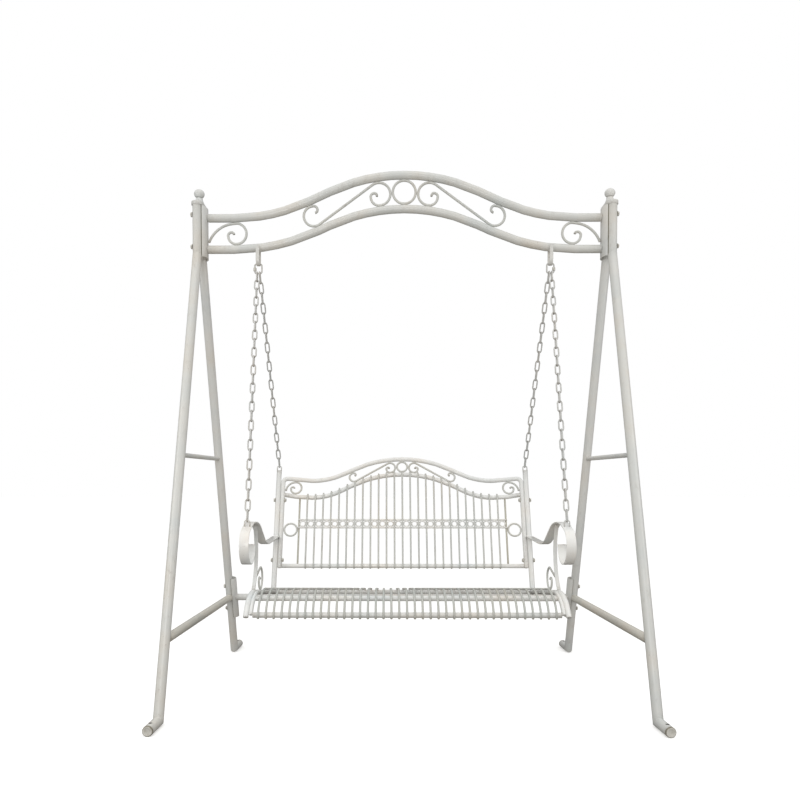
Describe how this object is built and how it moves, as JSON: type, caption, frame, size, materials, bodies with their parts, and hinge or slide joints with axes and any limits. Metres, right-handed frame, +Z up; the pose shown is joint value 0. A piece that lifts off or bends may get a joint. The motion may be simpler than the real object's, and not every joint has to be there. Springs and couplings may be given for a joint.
{
  "type": "garden swing seat",
  "caption": "Hanging garden swing: a slatted cream metal bench on chains under an arched scrollwork beam between two A-shaped side frames",
  "frame": {"origin": "on the ground, midway between the four feet, under the middle of the beam", "axes": "+X to the sitter's left-hand side frame seen from the back, +Y to the back of the seat, +Z up; the sitter faces -Y"},
  "size_m": [1.7086, 1.2124, 2.05],
  "materials": {
    "painted_steel": "antique cream paint, rubbed to brown at edges and joints",
    "painted_chain": "cream painted steel chain, rubbed where the links bear",
    "screw_steel": "brown antique finish on steel screw heads",
    "foot_plastic": "cream closing plugs in the feet"
  },
  "bodies": {
    "stand": {"beam_bracket_left": "painted_steel", "beam_bracket_right": "painted_steel", "beam_end_scrolls": "painted_steel", "beam_long_scrolls": "painted_steel", "beam_lower_tube": "painted_steel", "beam_ring": "painted_steel", "beam_upper_tube": "painted_steel", "crossbar_lower_left": "painted_steel", "crossbar_lower_right": "painted_steel", "crossbar_upper_left": "painted_steel", "crossbar_upper_right": "painted_steel", "finial_left": "painted_steel", "finial_right": "painted_steel", "foot_plugs": "foot_plastic", "frame_screws": "screw_steel", "hanger_straps": "painted_steel", "leg_front_left": "painted_steel", "leg_front_right": "painted_steel", "leg_rear_left": "painted_steel", "leg_rear_right": "painted_steel", "post_front_left": "painted_steel", "post_front_right": "painted_steel", "post_rear_left": "painted_steel", "post_rear_right": "painted_steel", "rear_stretcher": "painted_steel", "stretcher_saddles": "painted_steel"},
    "hanger_links": {"hanger_ring_left": "painted_chain", "hanger_ring_right": "painted_chain"},
    "swing_seat": {"arm_band_left": "painted_steel", "arm_band_right": "painted_steel", "arm_eyes": "painted_steel", "arm_scrolls": "painted_steel", "arm_supports": "painted_steel", "back_band_rails": "painted_steel", "back_band_rings": "painted_steel", "back_bottom_rail": "painted_steel", "back_end_scrolls": "painted_steel", "back_frame_tube": "painted_steel", "back_inner_arch": "painted_steel", "back_inner_stiles": "painted_steel", "back_long_scrolls": "painted_steel", "back_panel_ring": "painted_steel", "back_post_left": "painted_steel", "back_post_right": "painted_steel", "back_rods": "painted_steel", "back_side_rings": "painted_steel", "chain_front_left": "painted_chain", "chain_front_right": "painted_chain", "chain_rear_left": "painted_chain", "chain_rear_right": "painted_chain", "post_eyes": "painted_steel", "seat_edge_tube_left": "painted_steel", "seat_edge_tube_right": "painted_steel", "seat_front_tube": "painted_steel", "seat_nose_tube": "painted_steel", "seat_rear_tube": "painted_steel", "seat_rods": "painted_steel", "seat_screws": "screw_steel", "side_rail_left": "painted_steel", "side_rail_right": "painted_steel"}
  },
  "joints": [
    {"name": "hanger_link_swing", "type": "hinge", "parent": "stand", "child": "hanger_links", "pos_m": [0, 0, 1.68533], "axis": [1, 0, 0], "range_deg": [-25, 25]},
    {"name": "seat_swing", "type": "hinge", "parent": "hanger_links", "child": "swing_seat", "pos_m": [0, 0, 1.64733], "axis": [1, 0, 0], "range_deg": [-15, 15]}
  ]
}
